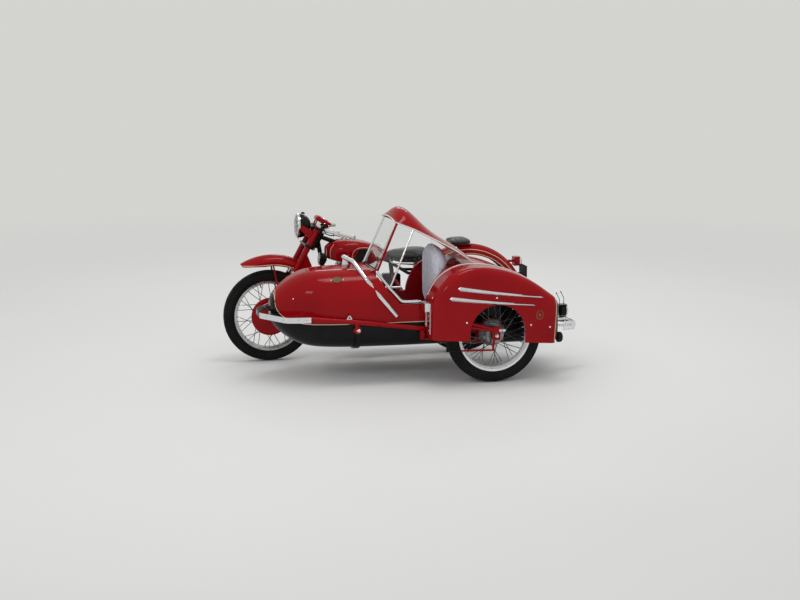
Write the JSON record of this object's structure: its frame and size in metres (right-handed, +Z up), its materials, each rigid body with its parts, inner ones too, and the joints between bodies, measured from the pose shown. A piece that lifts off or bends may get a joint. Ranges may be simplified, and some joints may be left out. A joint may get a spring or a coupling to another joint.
{
  "type": "sidecar motorcycle",
  "caption": "Vintage single-cylinder motorcycle with an enclosed two-tone sidecar on its left, wire wheels, sprung saddle, pillion pad, tilting glazed canopy and deep mudguards.",
  "frame": {"origin": "on the ground under the middle of the outfit's bounding box", "axes": "+X towards the rear (the outfit faces -X), +Y to the rider's right, +Z up"},
  "size_m": [2.4059, 1.5191, 1.162],
  "materials": {
    "tyre_rubber": "matt black tyre rubber, light dust on the tread blocks",
    "wheel_metal": "plated rim and polished hub",
    "red_paint": "deep red coach enamel, gloss",
    "black_enamel": "black stove enamel, semi gloss",
    "bright_chrome": "polished chromium plate",
    "clear_glass": "clear glass",
    "dark_leather": "black saddle leather, satin",
    "pale_upholstery": "pale grey-lavender upholstery, soft",
    "black_rubber": "moulded black rubber",
    "ivory_plastic": "ivory grips",
    "cast_alloy": "sand-cast alloy, lightly polished covers",
    "iron_casting": "bare finned iron casting",
    "lamp_plastic": "black lamp housing"
  },
  "bodies": {
    "outfit": {"body_upper": "red_paint", "carburettor": "cast_alloy", "chain_case": "black_enamel", "cylinder_barrel": "iron_casting", "cylinder_head": "cast_alloy", "engine_cases": "cast_alloy", "exhaust": "bright_chrome", "fender": "red_paint", "foot_controls": "bright_chrome", "footrests": "black_rubber", "frame": "black_enamel", "fuel_tank": "red_paint", "grab_rails": "bright_chrome", "horn": "cast_alloy", "hull_lower": "black_enamel", "kick_starter": "bright_chrome", "knee_pads": "black_rubber", "latch_bracket": "bright_chrome", "nose_bumper": "bright_chrome", "pillion_pad": "dark_leather", "plunger_units": "black_enamel", "rear_axle": "bright_chrome", "rear_bumper": "bright_chrome", "rear_mudguard": "red_paint", "rear_plate": "black_enamel", "saddle": "dark_leather", "saddle_springs": "bright_chrome", "sidecar_axle": "bright_chrome", "sidecar_backrest": "pale_upholstery", "sidecar_chassis": "red_paint", "sidecar_cushion": "pale_upholstery", "sidecar_tail_lamp": "lamp_plastic", "tail_buffer": "black_rubber", "tail_lamp": "black_enamel", "tool_box": "black_enamel", "wheel_arm": "red_paint"},
    "front_fork": {"fork_legs": "red_paint", "fork_yokes": "black_enamel", "front_axle": "bright_chrome", "front_brake_plate": "red_paint", "front_mudguard": "red_paint", "headlamp_shell": "black_enamel", "headlamp_rim": "bright_chrome", "headlamp_lens": "clear_glass", "handlebar": "bright_chrome", "grips": "ivory_plastic", "hand_levers": "bright_chrome", "instrument_pod": "black_enamel", "control_cables": "black_rubber"},
    "front_road_wheel": {"front_tyre": "tyre_rubber", "front_wheel": "wheel_metal"},
    "rear_road_wheel": {"rear_tyre": "tyre_rubber", "rear_wheel": "wheel_metal"},
    "sidecar_road_wheel": {"sidecar_tyre": "tyre_rubber", "sidecar_wheel": "wheel_metal"},
    "canopy": {"canopy_roof": "red_paint", "windscreen_glass": "clear_glass", "canopy_frame": "bright_chrome", "canopy_pillars": "red_paint", "side_glass": "clear_glass"}
  },
  "joints": [
    {"name": "steering", "type": "hinge", "parent": "outfit", "child": "front_fork", "pos_m": [-0.8249, 0.38, 0.30334], "axis": [0.4848, 0, 0.8746], "range_deg": [-35, 35]},
    {"name": "front_wheel_spin", "type": "hinge", "parent": "front_fork", "child": "front_road_wheel", "pos_m": [-0.873, 0.38, 0.33], "axis": [0, 1, 0], "continuous": true},
    {"name": "rear_wheel_spin", "type": "hinge", "parent": "outfit", "child": "rear_road_wheel", "pos_m": [0.577, 0.38, 0.33], "axis": [0, 1, 0], "continuous": true},
    {"name": "sidecar_wheel_spin", "type": "hinge", "parent": "outfit", "child": "sidecar_road_wheel", "pos_m": [0.503, -0.655, 0.33], "axis": [0, 1, 0], "continuous": true},
    {"name": "canopy_tilt", "type": "hinge", "parent": "outfit", "child": "canopy", "pos_m": [-0.257, -0.22, 0.746], "axis": [0, -1, 0], "range_deg": [0, 40]}
  ]
}
